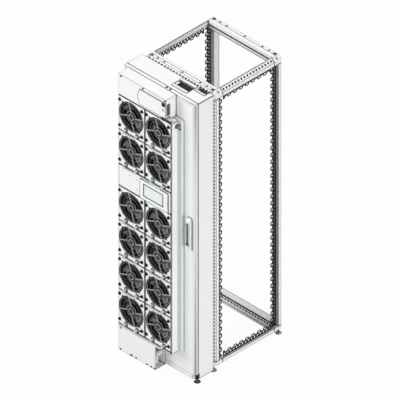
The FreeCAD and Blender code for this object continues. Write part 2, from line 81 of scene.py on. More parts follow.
def lamp(name, place, target, size, watts):
    """A square soft lamp that faces a point."""
    light = bpy.data.objects.new(name, bpy.data.lights.new(name, "AREA"))
    light.data.size = size
    light.data.energy = watts
    light.location = place
    light.rotation_euler = (Vector(target) - Vector(place)).to_track_quat("-Z", "Y").to_euler()
    bpy.context.scene.collection.objects.link(light)


lamp("lamp_front", (-3.5, -5.5, 4.5), (0, 0, 1), 3.5, 232)
lamp("lamp_right", (5.5, -1.5, 1.4), (0, 0, 1), 3.0, 104)
lamp("lamp_above", (0.5, 0.5, 6.0), (0, 0, 1), 3.5, 96)

world = bpy.data.worlds.new("studio")
bpy.context.scene.world = world
world.use_nodes = True
world.node_tree.nodes.clear()
tree = world.node_tree
rays = add(tree, "LightPath", {}).outputs
seen = rays["Is Camera Ray"]
for kind in ("Is Glossy Ray", "Is Transmission Ray"):
    seen = add(tree, "Math", {0: seen, 1: rays[kind]}, operation="MAXIMUM").outputs[0]
air = add(tree, "Background", {"Color": tint("#F4F6F8"), "Strength": 0.45})
sheet = add(tree, "Background", {"Color": tint("#FFFFFF"), "Strength": 1.0})
both = add(tree, "MixShader", {0: seen, 1: air.outputs[0], 2: sheet.outputs[0]})
add(tree, "OutputWorld", {"Surface": both.outputs[0]})

bpy.ops.object.select_all(action="DESELECT")
bpy.ops.mesh.primitive_plane_add(size=40, location=(0, 0, -0.0005))
floor = bpy.context.object
floor.name = "floor"
floor_paint = bpy.data.materials.new("pale_floor")
floor_paint.use_nodes = True
tree = floor_paint.node_tree
tree.nodes.clear()
rays = add(tree, "LightPath", {})
lit = add(tree, "BsdfDiffuse", {"Color": tint("#F6F6F6")})
bright = add(tree, "Emission", {"Color": tint("#FFFFFF"), "Strength": 1.0})
share = add(tree, "Math", {0: rays.outputs["Is Camera Ray"], 1: 0.95}, operation="MULTIPLY")
mixed = add(tree, "MixShader", {0: share.outputs[0], 1: lit.outputs[0], 2: bright.outputs[0]})
add(tree, "OutputMaterial", {"Surface": mixed.outputs[0]})
floor.data.materials.append(floor_paint)

# Rack posts
# Rolled steel tubes, powder coated, with a chamfered corner and one flange set back along the rail.
# Round holes at 25 mm pitch are punched through the chamfer and the flange, whose edge has teeth.
hole_pitch = 0.025
flange_hole = 0.0062
chamfer_hole = 0.0050
rail_hole = 0.0046
tooth_hole = 0.0068
tooth_gap = 0.0130
punch_reach = 0.004
# How far the punches of the chamfer holes reach out and in, measured from the corner's two faces.
chamfer_out, chamfer_in = 0.007, 0.016


def begin(name):
    """A new material, with its node tree, its shader and the place that its textures follow."""
    material = bpy.data.materials.new(name)
    material.use_nodes = True
    tree = material.node_tree
    return material, tree, tree.nodes["Principled BSDF"], add(tree, "TexCoord", {}).outputs["Object"]


def edge_share(tree, width, samples, slight, full, depth, normal):
    """How much of the edge's colour shows: the normal, rounded over a width, against the face's own."""
    rounded = add(tree, "Bevel", {"Radius": width}, samples=samples).outputs["Normal"]
    flat = add(tree, "NewGeometry", {}).outputs[normal]
    turn = add(tree, "VectorMath", {0: rounded, 1: flat}, operation="DOT_PRODUCT").outputs["Value"]
    share = add(tree, "MapRange", {"Value": turn, "From Min": slight, "From Max": full, "To Max": depth})
    return share.outputs["Result"]


def mix_base(tree, shader, share, first, second):
    """Mixes two colours, or the sockets that feed them, into the shader's base colour."""
    mixed = add(tree, "MixRGB", {"Fac": share, "Color1": first, "Color2": second})
    tree.links.new(mixed.outputs["Color"], shader.inputs["Base Color"])


def roughen(tree, shader, height, strength, distance):
    """Raises the surface by a height that a texture gives."""
    bump = add(tree, "Bump", {"Height": height, "Strength": strength, "Distance": distance})
    tree.links.new(bump.outputs["Normal"], shader.inputs["Normal"])


def set_sockets(shader, values):
    for socket, value in values.items():
        shader.inputs[socket].default_value = value


def coated(name, colour, line, width, depth, roughness, slight=0.988, full=0.94):
    """Powder coat on sheet steel, with a fine orange peel, a faint mottle, a dark line painted along edges
    and creases, and painted shade where other surfaces lie close.
    """
    material, tree, shader, place = begin(name)
    mottle = add(tree, "TexNoise", {"Vector": place, "Scale": 7.0, "Detail": 3.0})
    pale = tuple(part * 0.955 for part in tint(colour)[:3]) + (1.0,)
    base = add(tree, "MixRGB", {"Fac": mottle.outputs["Fac"], "Color1": tint(colour), "Color2": pale})
    edge = edge_share(tree, width, 16, slight, full, depth, "True Normal")
    # Painted shade: the colour turns to the line colour where ambient occlusion finds surfaces close by, in
    # creases and between parts.
    open_air = add(tree, "AmbientOcclusion", {"Distance": width * 1.5}, samples=8).outputs["AO"]
    crease_shade = add(tree, "MapRange", {"Value": open_air, "From Min": 0.84, "From Max": 0.62, "To Max": depth})
    drawn = add(tree, "Math", {0: edge, 1: crease_shade.outputs["Result"]}, operation="MAXIMUM").outputs[0]
    mix_base(tree, shader, drawn, base.outputs["Color"], tint(line))
    peel = add(tree, "TexNoise", {"Vector": place, "Scale": 420.0, "Detail": 2.0})
    roughen(tree, shader, peel.outputs["Fac"], 0.06, 0.0004)
    set_sockets(shader, {"Roughness": roughness, "IOR": 1.5})
    return material


def two_tone(name, scale, detail, first, second, values):
    """A material whose colour wanders between two tones, with values for its shader's sockets."""
    material, tree, shader, place = begin(name)
    noise = add(tree, "TexNoise", {"Vector": place, "Scale": scale, "Detail": detail})
    mix_base(tree, shader, noise.outputs["Fac"], tint(first), tint(second))
    set_sockets(shader, values)
    return material


# The coat is a satin near white, with a dark line painted along its edges and painted shade in its creases.
frame_coat = coated("powder_coated_frame_steel", "#F4F5F5", "#0C0D0E", 0.0080, 1.0, 0.45, 0.996, 0.972)
# Flanges and the groove of the beams are painted near black, and the posts' inner faces grey, as painted
# shade.
flange_shade_coat = coated("near_black_painted_shade", "#141516", "#060606", 0.0040, 1.0, 0.55)
inner_face_shade_coat = coated("grey_painted_shade", "#A6A9AB", "#2A2C2E", 0.0040, 1.0, 0.50)
# The same coat on a rounded fold, with no painted edge line and no painted crease shade.
plain_coat = coated("powder_coated_round_fold", "#F4F5F5", "#F4F5F5", 0.0010, 0.0, 0.45)
rack_middle_z = 1.022


def shape(piece):
    """Opens one piece, alone, in edit mode with nothing selected."""
    bpy.ops.object.select_all(action="DESELECT")
    bpy.context.view_layer.objects.active = piece
    piece.select_set(True)
    bpy.ops.object.mode_set(mode="EDIT")
    bpy.ops.mesh.select_all(action="DESELECT")


def pick(piece, test, kind="faces"):
    """Selects the faces, edges or vertices whose middle passes a test."""
    mesh = bmesh.from_edit_mesh(piece.data)
    for part in getattr(mesh, kind):
        if kind == "faces":
            middle = part.calc_center_median()
        elif kind == "edges":
            middle = (part.verts[0].co + part.verts[1].co) / 2
        else:
            middle = part.co
        if test(middle, part):
            part.select_set(True)
    mesh.select_flush_mode()
    bmesh.update_edit_mesh(piece.data)


def sink(rim, move):
    """Insets the selected faces by a rim and moves them, with new sides."""
    bpy.ops.mesh.inset(thickness=rim)
    bpy.ops.mesh.extrude_region_move(TRANSFORM_OT_translate={"value": move})


def pick_front(piece):
    """Selects the faces of an open piece that look to the front."""
    pick(piece, lambda middle, face: face.normal.y < -0.9)


def done():
    bpy.ops.object.mode_set(mode="OBJECT")


def shape_all(piece):
    """Opens a piece for editing with everything selected."""
    shape(piece)
    bpy.ops.mesh.select_all(action="SELECT")


def copy_of(node, name):
    """A merged copy of a CAD node, with its flat faces whole again."""
    piece = bpy.data.objects.new(name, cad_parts[node].data.copy())
    bpy.context.scene.collection.objects.link(piece)
    shape_all(piece)
    bpy.ops.mesh.remove_doubles(threshold=0.00001)
    bpy.ops.mesh.dissolve_limited(angle_limit=math.radians(0.5))
    done()
    return piece


def block(name, low, high):
    """A block between two corners, with its place in its mesh."""
    bpy.ops.object.select_all(action="DESELECT")
    middle = [(a + b) / 2 for a, b in zip(low, high)]
    bpy.ops.mesh.primitive_cube_add(size=1, location=middle, scale=[b - a for a, b in zip(low, high)])
    bpy.context.object.name = name
    bpy.ops.object.transform_apply(location=True, rotation=True, scale=True)
    return bpy.context.object


def round_bar(name, radius, start, end, sides=24):
    """A round bar between two points, with its place in its mesh."""
    bpy.ops.object.select_all(action="DESELECT")
    run = Vector(end) - Vector(start)
    turn = run.to_track_quat("Z", "Y").to_euler()
    middle = (Vector(start) + Vector(end)) / 2
    bpy.ops.mesh.primitive_cylinder_add(
        vertices=sides, radius=radius, depth=run.length, location=middle, rotation=turn)
    bpy.context.object.name = name
    bpy.ops.object.transform_apply(location=True, rotation=True, scale=True)
    return bpy.context.object


def apply(piece, kind, **settings):
    """Adds a modifier with its settings and applies it."""
    bpy.ops.object.select_all(action="DESELECT")
    bpy.context.view_layer.objects.active = piece
    piece.select_set(True)
    modifier = piece.modifiers.new(kind.lower(), kind)
    for name, value in settings.items():
        setattr(modifier, name, value)
    bpy.ops.object.modifier_apply(modifier=modifier.name)


def row_of(piece, count, step):
    """Repeats a piece along a line."""
    apply(
        piece, "ARRAY", count=count, use_relative_offset=False,
        use_constant_offset=True, constant_offset_displace=step)
    return piece


def punches(radius, sides, start, end, count, step):
    """A row of round punches, given by the ends of the first."""
    return row_of(round_bar("punch", radius, start, end, sides), count, step)


def cut(piece, *tools):
    """Punches tools out of a piece and takes them away."""
    for tool in tools:
        apply(piece, "BOOLEAN", object=tool, operation="DIFFERENCE", solver="EXACT")
        bpy.data.objects.remove(tool)


def soften(piece, width, segments=2):
    """Rounds the sharp edges of a piece."""
    apply(piece, "BEVEL", width=width, segments=segments, limit_method="ANGLE", angle_limit=math.radians(40))
    bpy.ops.object.shade_flat()


def smooth(degrees):
    """Shades the selected piece smooth, apart from edges sharper than an angle."""
    bpy.ops.object.shade_smooth_by_angle(angle=math.radians(degrees))


def copies(piece, name, shifts):
    """One mesh of copies of a piece, each moved by a shift, in place of the piece."""
    made = bmesh.new()
    for shift in shifts:
        copy = piece.data.copy()
        copy.transform(Matrix.Translation(shift))
        made.from_mesh(copy)
        bpy.data.meshes.remove(copy)
    made.to_mesh(piece.data)
    made.free()
    piece.name = name
    return piece


def one(name, parts):
    """Joins pieces into one mesh."""
    bpy.ops.object.select_all(action="DESELECT")
    for part in parts:
        part.select_set(True)
    bpy.context.view_layer.objects.active = parts[0]
    bpy.ops.object.join()
    parts[0].name = name
    return parts[0]


def fit(piece, material, body, slot, *nodes):
    """Gives a finished piece its finish, its body and the nodes that it stands for; the slot is not used."""
    piece.data.materials.clear()
    piece.data.materials.append(material)
    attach(piece, body)
    if nodes:
        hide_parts(*nodes)


def dress(node, name, width, material, body, slot, segments=2):
    """A copy of a CAD node with its edges eased, in its finish."""
    piece = copy_of(node, name)
    soften(piece, width, segments)
    fit(piece, material, body, slot, node)


def finish_node(material, *nodes):
    """Gives CAD nodes whose shape is right their finish."""
    for node in nodes:
        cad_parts[node].data.materials.clear()
        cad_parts[node].data.materials.append(material)


def finish_faces(piece, coat, inside):
    """Gives the faces whose middles pass a test a finish of their own."""
    piece.data.materials.append(coat)
    for face in piece.data.polygons:
        if inside(face.center):
            face.material_index = len(piece.data.materials) - 1


def near(value, lines, reach):
    """Whether a value lies within a reach of one of some lines."""
    return min(abs(value - line) for line in lines) < reach


for node in ("post_left_door_side", "post_right_door_side", "post_left_far_side", "post_right_far_side"):
    low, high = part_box(node)
    corner_x, inward_x = (low.x, 1) if "left" in node else (high.x, -1)
    corner_y, inward_y = (low.y, 1) if "door" in node else (high.y, -1)
    post = copy_of(node, node.replace("post", "punched_post"))
    count = round((high.z - low.z) / hole_pitch)
    first = low.z + hole_pitch / 2
    flange_x = corner_x + inward_x * 0.02125
    tools = []
    # Each row on the flange: its radius, how far in it lies, its pitch and start in holes, and its length.
    for radius, along, every, rise, number in (
        (flange_hole, 0.059, 1, 0.0, count),
        (tooth_gap, 0.0905, 2, 0.5, count // 2),
        (tooth_hole, 0.0785, 2, 1.5, count // 2 - 1),
    ):
        y = corner_y + inward_y * along
        z = first + hole_pitch * rise
        start, end = (flange_x - punch_reach, y, z), (flange_x + punch_reach, y, z)
        tools.append(punches(radius, 12, start, end, number, (0, 0, hole_pitch * every)))
    start, end = [
        (corner_x + inward_x * reach, corner_y + inward_y * reach, first)
        for reach in (chamfer_out, chamfer_in)]
    tools.append(punches(chamfer_hole, 10, start, end, count, (0, 0, hole_pitch)))
    cut(post, *tools)
    bpy.ops.object.shade_flat()
    fit(post, frame_coat, "rack_and_hood", "frame_paint", node)
    # Painted shade: the flange is painted near black and the post's inner faces grey.
    finish_faces(post, flange_shade_coat, lambda middle: (
        abs(middle.x - flange_x) < 0.0015 and abs(middle.y - corner_y) > 0.0481))
    finish_faces(post, inner_face_shade_coat, lambda middle: (
        abs(abs(middle.y - corner_y) - 0.048) < 0.0003 and abs(middle.x - flange_x) > 0.0015))

# Side rails
# Rolled steel like the posts, lying along the depth at the top and at the bottom.
# The chamfer has round holes; the inner face folds in to a flange with holes and teeth.
for node, side in (("top_side_rails", 1), ("bottom_side_rails", -1)):
    low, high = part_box(node)
    rails = copy_of(node, node.replace("side_rails", "punched_side_rails"))
    outer = rack_middle_z + side * 1.0
    tools = []
    for corner_x, inward_x in ((low.x, 1), (high.x, -1)):
        start, end = [
            (corner_x + inward_x * reach, -0.060, outer - side * reach)
            for reach in (chamfer_out, chamfer_in)]
        tools.append(punches(rail_hole, 12, start, end, 17, (0, hole_pitch, 0)))
        flange_x = corner_x + inward_x * 0.01425
        # Each row on the flange: its radius, how far down it lies, where it starts, its pitch and length.
        for radius, down, first, every, count in (
            (flange_hole, 0.0605, -0.0475, 1, 16),
            (tooth_gap, 0.0870, -0.035, 2, 8),
            (tooth_hole, 0.0765, -0.010, 2, 7),
        ):
            z = outer - side * down
            start, end = (flange_x - punch_reach, first, z), (flange_x + punch_reach, first, z)
            tools.append(punches(radius, 12, start, end, count, (0, hole_pitch * every, 0)))
    cut(rails, *tools)
    bpy.ops.object.shade_flat()
    fit(rails, frame_coat, "rack_and_hood", "frame_paint", node)
    # Painted shade: the flange below the chamfer is painted near black.
    finish_faces(rails, flange_shade_coat, lambda middle: abs(middle.z - outer) > 0.0501)

# Cross beams
# Wider closed sections along the width, spot welded from two folded sheets, with a seam on their outer face.
# The top ones have a groove inside, painted near black as painted shade.
# The bottom ones have a fine line, a row of holes and a strip of black rubber inside, which stands in for the
# shade of a fold.
fold_shade_strips = []
bolt_places = (-0.200, -0.145, 0.005, 0.155, 0.210)
end_places = (-0.247, 0.257)
for node, side in (("top_cross_beams", 1), ("bottom_cross_beams", -1)):
    low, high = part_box(node)
    beams = copy_of(node, node.replace("cross_beams", "punched_cross_beams"))
    outer = rack_middle_z + side * 1.0
    inner_lines = (low.y + 0.070, high.y - 0.070)
    past_left, past_right, first = low.x - 0.01, high.x + 0.01, low.x + 0.015
    shape(beams)
    pick(beams, lambda middle, edge: (
        abs(middle.z - outer) < 0.0002 and near(middle.y, inner_lines, 0.0002)), "edges")
    bpy.ops.mesh.bevel(offset=0.010, segments=8)
    done()
    tools = []
    for corner_y, inward_y in ((low.y, 1), (high.y, -1)):
        start, end = [
            (first, corner_y + inward_y * reach, outer - side * reach) for reach in (chamfer_out, chamfer_in)]
        tools.append(punches(chamfer_hole, 10, start, end, 21, (hole_pitch, 0, 0)))
        seam = sorted((corner_y + inward_y * 0.0440, corner_y + inward_y * 0.0475))
        tools.append(block(
            "seam", (past_left, seam[0], outer - 0.0006), (past_right, seam[1], outer + 0.0006)))
        bolt_y = corner_y + inward_y * 0.034
        for places, radius in ((bolt_places, 0.0045), (end_places, 0.0075)):
            for x in places:
                tools.append(round_bar(
                    "punch", radius, (x, bolt_y, outer - punch_reach), (x, bolt_y, outer + punch_reach), 12))
        inside = corner_y + inward_y * 0.070
        if side > 0:
            fold = outer - 0.027
            tools.append(block(
                "fold", (past_left, inside - 0.0012, fold - 0.0045),
                (past_right, inside + 0.0012, fold + 0.0045)))
        else:
            # Painted shade: a black rubber strip where the fold's shade would fall.
            fold_shade_strips.append(block("trim", (low.x, inside - 0.0006, 0.0830), (high.x, inside + 0.0006, 0.0905)))
            line = outer + 0.022
            tools.append(block(
                "line", (past_left, inside - 0.0006, line - 0.0020),
                (past_right, inside + 0.0006, line + 0.0020)))
            z = outer + 0.0485
            start, end = (first, inside - punch_reach, z), (first, inside + punch_reach, z)
            tools.append(punches(rail_hole, 10, start, end, 21, (hole_pitch, 0, 0)))
    cut(beams, *tools)
    bpy.ops.object.shade_flat()
    fit(beams, frame_coat, "rack_and_hood", "frame_paint", node)
    finish_faces(beams, plain_coat, lambda middle: (
        0.0002 < abs(middle.z - outer) < 0.0099 and near(middle.y, inner_lines, 0.0099)))
    if side > 0:
        finish_faces(beams, plain_coat, lambda middle: (
            abs(middle.z - outer) < 0.0210 and near(middle.y, inner_lines, 0.0200)))
        # Painted shade: the groove's faces are painted near black.
        finish_faces(beams, flange_shade_coat, lambda middle: (
            abs(middle.z - fold) < 0.0047 and near(middle.y, inner_lines, 0.0014)))

# Corner pieces
# Cast steel corners that the posts, rails and beams are bolted to, coated with the frame.
# On the chamfer of each is a round bolt head with a ring round it.
dress("corner_pieces", "cast_corners", 0.0022, frame_coat, "rack_and_hood", "corner_cast", 3)

low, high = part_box("corner_pieces")
bolts = []
for corner_x, inward_x in ((low.x, 1), (high.x, -1)):
    for corner_y, inward_y in ((low.y, 1), (high.y, -1)):
        for corner_z, inward_z in ((low.z, 1), (high.z, -1)):
            seat = Vector((
                corner_x + inward_x * 0.0115, corner_y + inward_y * 0.050, corner_z + inward_z * 0.0115))
            out = Vector((-inward_x, 0, -inward_z)).normalized()
            bolt = round_bar("corner_bolt", 0.0088, seat - out * 0.002, seat + out * 0.0018, 20)
            shape(bolt)
            pick(bolt, lambda middle, face: (middle - seat).dot(out) > 0.001 and len(face.verts) > 4)
            sink(0.0022, -out * 0.0014)
            sink(0.0022, out * 0.0012)
            done()
            bolts.append(bolt)
corner_bolts = one("corner_bolts", bolts)
smooth(35)
# Zinc plated steel, bright passivated: a cool grey metal with fine cloudy stains from the bath.
zinc, tree, shader, place = begin("zinc_plated_steel")
clouds = add(tree, "TexNoise", {"Vector": place, "Scale": 160.0, "Detail": 4.0}).outputs["Fac"]
mix_base(tree, shader, clouds, tint("#B9BCBE"), tint("#8E9294"))
rough = add(tree, "MapRange", {"Value": clouds, "To Min": 0.28, "To Max": 0.45})
tree.links.new(rough.outputs["Result"], shader.inputs["Roughness"])
set_sockets(shader, {"Metallic": 1.0})
fit(corner_bolts, zinc, "rack_and_hood", "zinc_steel")

# Levelling feet
# A round foot plate on a threaded steel stud, locked with a hexagon nut.
# Four zinc plated ones stand under the rack's corners and two black moulded ones under the hood.
foot_plates = []
rack_foot_plates = []
foot_nuts = []
foot_studs = []
low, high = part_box("rack_feet")
hood_low, hood_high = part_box("hood_feet")
foot_radius = 0.0206
stud_foot = 0.011
# Half of the stud's 1.5 mm thread pitch: crest and root take turns.
thread_step = 0.00075
hood_foot_y = (hood_low.y + hood_high.y) / 2
spots = [(x, y, high.z) for x in (-0.267, 0.277) for y in (-0.132, 0.412)]
spots += [(x, hood_foot_y, hood_high.z) for x in (-0.292, 0.292)]
for x, y, top in spots:
    plate = round_bar("foot_plate", foot_radius, (x, y, 0.0), (x, y, 0.0032), 32)
    shape(plate)
    pick(plate, lambda middle, face: middle.z > 0.003 and len(face.verts) > 4)
    bpy.ops.mesh.inset(thickness=0.0075)
    bpy.ops.transform.translate(value=(0, 0, 0.0022))
    bpy.ops.mesh.inset(thickness=0.001)
    done()
    soften(plate, 0.0006)
    (foot_plates if y == hood_foot_y else rack_foot_plates).append(plate)
    nut = round_bar("foot_nut", 0.0116, (x, y, 0.0052), (x, y, 0.0112), 6)
    soften(nut, 0.0008)
    foot_nuts.append(nut)
    stud = round_bar("foot_stud", 0.0052, (x, y, stud_foot), (x, y, top), 16)
    shape(stud)
    pick(stud, lambda middle, edge: abs(edge.verts[0].co.z - edge.verts[1].co.z) > 0.004, "edges")
    bpy.ops.mesh.subdivide(number_cuts=int((top - stud_foot) / thread_step))
    bpy.ops.mesh.select_all(action="DESELECT")
    pick(stud, lambda middle, vert: (
        round((middle.z - stud_foot) / thread_step) % 2 == 1 and middle.z < top - 0.0004), "verts")
    bpy.ops.transform.resize(value=(1.16, 1.16, 1), center_override=(x, y, 0))
    done()
    foot_studs.append(stud)


def moulded(name, grain, width, samples, highlight_share, height, colour, highlight_colour, roughness):
    """Black moulded plastic: a dull grain of some height, and a painted highlight that turns edges paler over
    a width.
    """
    material, tree, shader, place = begin(name)
    texture = add(tree, "TexNoise", {"Vector": place, "Scale": grain, "Detail": 2.0})
    edge = edge_share(tree, width, samples, 0.99, 0.85, highlight_share, "Normal")
    mix_base(tree, shader, edge, tint(colour), tint(highlight_colour))
    roughen(tree, shader, texture.outputs["Fac"], height, 0.0002)
    set_sockets(shader, {"Roughness": roughness})
    return material


# Moulded polyamide, black with a dull grain and a paler painted highlight along its rim.
polyamide = moulded("black_moulded_polyamide", 900.0, 0.0012, 4, 0.6, 0.15, "#0B0B0C", "#2C2D2F", 0.5)
fit(one("hood_foot_plates", foot_plates), polyamide, "rack_and_hood", "zinc_steel", "hood_feet")
fit(one("rack_foot_plates", rack_foot_plates), zinc, "rack_and_hood", "zinc_steel", "rack_feet")
fit(one("foot_nuts", foot_nuts), zinc, "rack_and_hood", "zinc_steel")
# Blackened steel, as on machine screws: a dark oil-finished oxide with a low sheen.
oxide = two_tone(
    "black_oxide_steel", 500.0, 3.0, "#0A0A0B", "#1B1C1E", {"Roughness": 0.6, "Specular IOR Level": 0.2})
fit(one("foot_studs", foot_studs), oxide, "rack_and_hood", "zinc_steel")

# Hood
# A sleeve of folded 2 mm sheet steel, powder coated, that carries the door and is bolted to the rack.
# Its edges are folded in at the door and at the rack.
sheet_coat = coated("powder_coated_sheet_steel", "#F5F6F6", "#0E0F10", 0.0100, 1.0, 0.42)
# The large panels have a paler, slightly weaker painted edge line and painted crease shade.
soft_coat = coated("powder_coated_broad_sheet", "#F5F6F6", "#5C5F62", 0.0080, 0.85, 0.42)
for node in ("hood_left_side", "hood_right_side", "hood_top", "hood_bottom"):
    coat = sheet_coat if node == "hood_bottom" else soft_coat
    dress(node, node.replace("hood", "folded_hood"), 0.0007, coat, "rack_and_hood", "sheet_paint")
# A bead of dark sealant closes the joint between the top sheet and each side.
beads = [
    block("bead", (left, -0.2810, 2.0130), (left + 0.0016, -0.1570, 2.0185)) for left in (-0.3004, 0.2988)]
fit(one("hood_sealant_beads", beads), polyamide, "rack_and_hood", "seal_rubber")

# Cable entries
# Two framed openings in the hood's top, each with raised bars along its long sides.
# Black bristle strips close them against air; a rolled rubber seal lies behind the narrow one.
dress("cable_entry_frames", "cable_entry_rims", 0.0005, sheet_coat, "rack_and_hood", "sheet_paint")

bristle, tree, shader, place = begin("black_bristle")
# Bristles are 0.3 mm thick; the bands are drawn at 2 mm so that they show.
strands = add(
    tree, "TexWave", {"Vector": place, "Scale": 160.0, "Distortion": 1.5, "Detail": 2.0}, bands_direction="X",
).outputs["Fac"]
mix_base(tree, shader, strands, tint("#060606"), tint("#1E1E1F"))
roughen(tree, shader, strands, 0.5, 0.001)
set_sockets(shader, {"Roughness": 0.8})
strips = []
for x0, x1, y0, y1 in ((0.055, 0.173, -0.235, -0.186), (0.195, 0.265, -0.183, -0.172)):
    middle_y = (y0 + y1) / 2
    for edge_y in (y0, y1):
        near_y, far_y = sorted((edge_y, middle_y))
        strip = block("bristle_strip", (x0, near_y, 2.0050), (x1, far_y, 2.0065))
        shape_all(strip)
        bpy.ops.mesh.subdivide(number_cuts=9)
        bpy.ops.mesh.select_all(action="DESELECT")
        pick(strip, lambda middle, vert: abs(middle.y - middle_y) < 0.0001, "verts")
        bpy.ops.transform.translate(value=(0, 0, -0.010 if edge_y == y0 else -0.016))
        done()
        strips.append(strip)
fit(one("bristle_strips", strips), bristle, "rack_and_hood", "seal_rubber")

# Soft EPDM rubber, black and matt, with a faint bloom of dust.
rubber = two_tone("epdm_rubber", 60.0, 5.0, "#0A0A0A", "#1C1C1D", {"Roughness": 0.75})
dress("entry_roll", "rolled_seal", 0.0045, rubber, "rack_and_hood", "seal_rubber", 4)
fit(one("beam_fold_shade_strips", fold_shade_strips), rubber, "rack_and_hood", "seal_rubber")

# Hinges
# Pressed and zinc plated leaves with rolled knuckles round a pin, three on the left edge.
# One leaf of each is fastened to the hood and the other to the door.
finish_node(zinc, "hinge_fixed_leaves", "hinge_moving_leaves")

# Door leaf
# A tray of folded sheet steel with rounded front edges, powder coated.
# A rubber seal runs round its back, and two black screws hold it at the top, sunk in shallow seats.
door_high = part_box("door_leaf")[1]
top_screw_places = [(x, -0.2952) for x in (0.049, 0.079)]
leaf = copy_of("door_leaf", "folded_door_leaf")
cut(leaf, *[
    round_bar("seat", 0.0084, (x, y, door_high.z - 0.0010), (x, y, door_high.z + 0.01), 24)
    for x, y in top_screw_places])
smooth(25)
fit(leaf, soft_coat, "door", "sheet_paint", "door_leaf")
# The seal stops 0.6 mm short of the hood.
seal_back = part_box("hood_top")[0].y - 0.0006
seal_strips = []
for left, right, bottom, top in (
    (-0.288, -0.276, 0.064, 2.010), (0.276, 0.288, 0.064, 2.010),
    (-0.276, 0.276, 0.064, 0.076), (-0.276, 0.276, 1.998, 2.010),
):
    strip = block("strip", (left, door_high.y, bottom), (right, seal_back, top))
    soften(strip, 0.0015)
    seal_strips.append(strip)
# The seal is the same rubber in grey, so the gap between hood and door is not a black line.
grey_rubber = two_tone("grey_epdm_rubber", 60.0, 5.0, "#B4B7B9", "#9DA0A2", {"Roughness": 0.75})
fit(one("door_seal", seal_strips), grey_rubber, "door", "seal_rubber")


def screw_head(seat, out, radius, height):
    """A round screw head with a six-sided recess, standing on a seat."""
    head = round_bar("screw_head", radius, Vector(seat), Vector(seat) + Vector(out) * height, 18)
    shape(head)
    pick(head, lambda middle, face: (
        len(face.verts) > 4 and (middle - Vector(seat)).dot(Vector(out)) > height / 2))
    bpy.ops.mesh.inset(thickness=radius * 0.18)
    bpy.ops.transform.translate(value=Vector(out) * height * 0.15)
    sink(radius * 0.36, -Vector(out) * height * 0.6)
    done()
    return head


def front_screws(name, places, radius, height, finish=oxide):
    """Screw heads that stand on faces turned to the front, as one piece."""
    heads = [screw_head(place, (0, -1, 0), radius, height) for place in places]
    fit(one(name, heads), finish, "door", "zinc_steel")


top_screws = [
    round_bar("top_screw", 0.0076, (x, y, door_high.z - 0.0014), (x, y, door_high.z - 0.0002), 24)
    for x, y in top_screw_places]
fit(one("door_top_screws", top_screws), oxide, "door", "zinc_steel")

# Fan wall
# A housing of folded sheet steel on a wide flange that is bolted to the leaf.
# The side sheets turn out into the flange in a round bend, and a post divides the two columns of fans.
bend_coat = coated("powder_coated_flange_sheet", "#EEF0F0", "#8C8F91", 0.0060, 0.6, 0.42)
dress("fan_base", "folded_fan_base", 0.0006, bend_coat, "door", "sheet_paint")
for node in ("fan_housing_left", "fan_housing_right", "fan_housing_ends"):
    dress(node, node.replace("fan_housing", "folded_housing"), 0.0006, sheet_coat, "door", "sheet_paint")
bend = 0.011
base_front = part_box("fan_base")[0].y
housing_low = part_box("fan_housing_left")[0]
housing_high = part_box("fan_housing_right")[1]
bends = []
for side_x, out_x in ((housing_low.x, -1), (housing_high.x, 1)):
    far_x = side_x + out_x * bend
    corner = (min(side_x, far_x), base_front - bend, housing_low.z)
    strip = block("bend", corner, (max(side_x, far_x), base_front, housing_high.z))
    ends = [(far_x, base_front - bend, z) for z in (housing_low.z - 0.01, housing_high.z + 0.01)]
    cut(strip, round_bar("hollow", bend, *ends, 48))
    bends.append(strip)
bends = one("housing_bends", bends)
smooth(35)
fit(bends, bend_coat, "door", "sheet_paint")
# The divider stays in the shade of the fan plates, so it is finished in the same coat, greyer.
shade_coat = coated("powder_coated_divider", "#4A4C4E", "#0A0A0A", 0.0060, 0.9, 0.5)
finish_node(shade_coat, "fan_divider")
front_screws("flange_screws", [(x, base_front, 1.809) for x in (-0.2655, 0.1975)], 0.0068, 0.0035)

# Fan plates
# Each fan sits behind its own plate of 3 mm coated steel, with a round opening.
# A captive thumb screw holds each corner, and two small screws hold the fan.
housing_top = housing_high.z
module_pitch = 0.250
band_height = 0.157
tops = [housing_top, housing_top - module_pitch]
tops += [tops[1] - module_pitch - band_height - module_pitch * row for row in range(4)]
module_lefts = (-0.254, -0.030)
module_width = 0.217
module_height = 0.249
plate_front, plate_back = -0.396, -0.393
fan_from_left = {-0.254: 0.1055, -0.030: 0.1075}
centre_drop = 0.115
fans = [(left, top) for top in tops for left in module_lefts]
centres = [Vector((left + fan_from_left[left], 0, top - centre_drop)) for left, top in fans]
centre = centres[0]
pitches = [place - centre for place in centres]


def fan_bar(name, radius, front, back, sides):
    """A round bar along the first fan's axis, between two depths."""
    return round_bar(name, radius, (centre.x, front, centre.z), (centre.x, back, centre.z), sides)


plates = []
for (left, top), place in zip(fans, centres):
    corner = (left, plate_front, top - module_height)
    plate = block("fan_plate", corner, (left + module_width, plate_back, top))
    ends = [(place.x, y, place.z) for y in (plate_front - 0.01, plate_back + 0.01)]
    cut(plate, round_bar("opening", 0.100, *ends, 64))
    plates.append(plate)
plates = one("coated_fan_plates", plates)
soften(plates, 0.0006)
plate_coat = coated("powder_coated_plate_steel", "#F5F6F6", "#0A0B0B", 0.0100, 1.0, 0.42)
fit(plates, plate_coat, "door", "sheet_paint", "fan_plates")

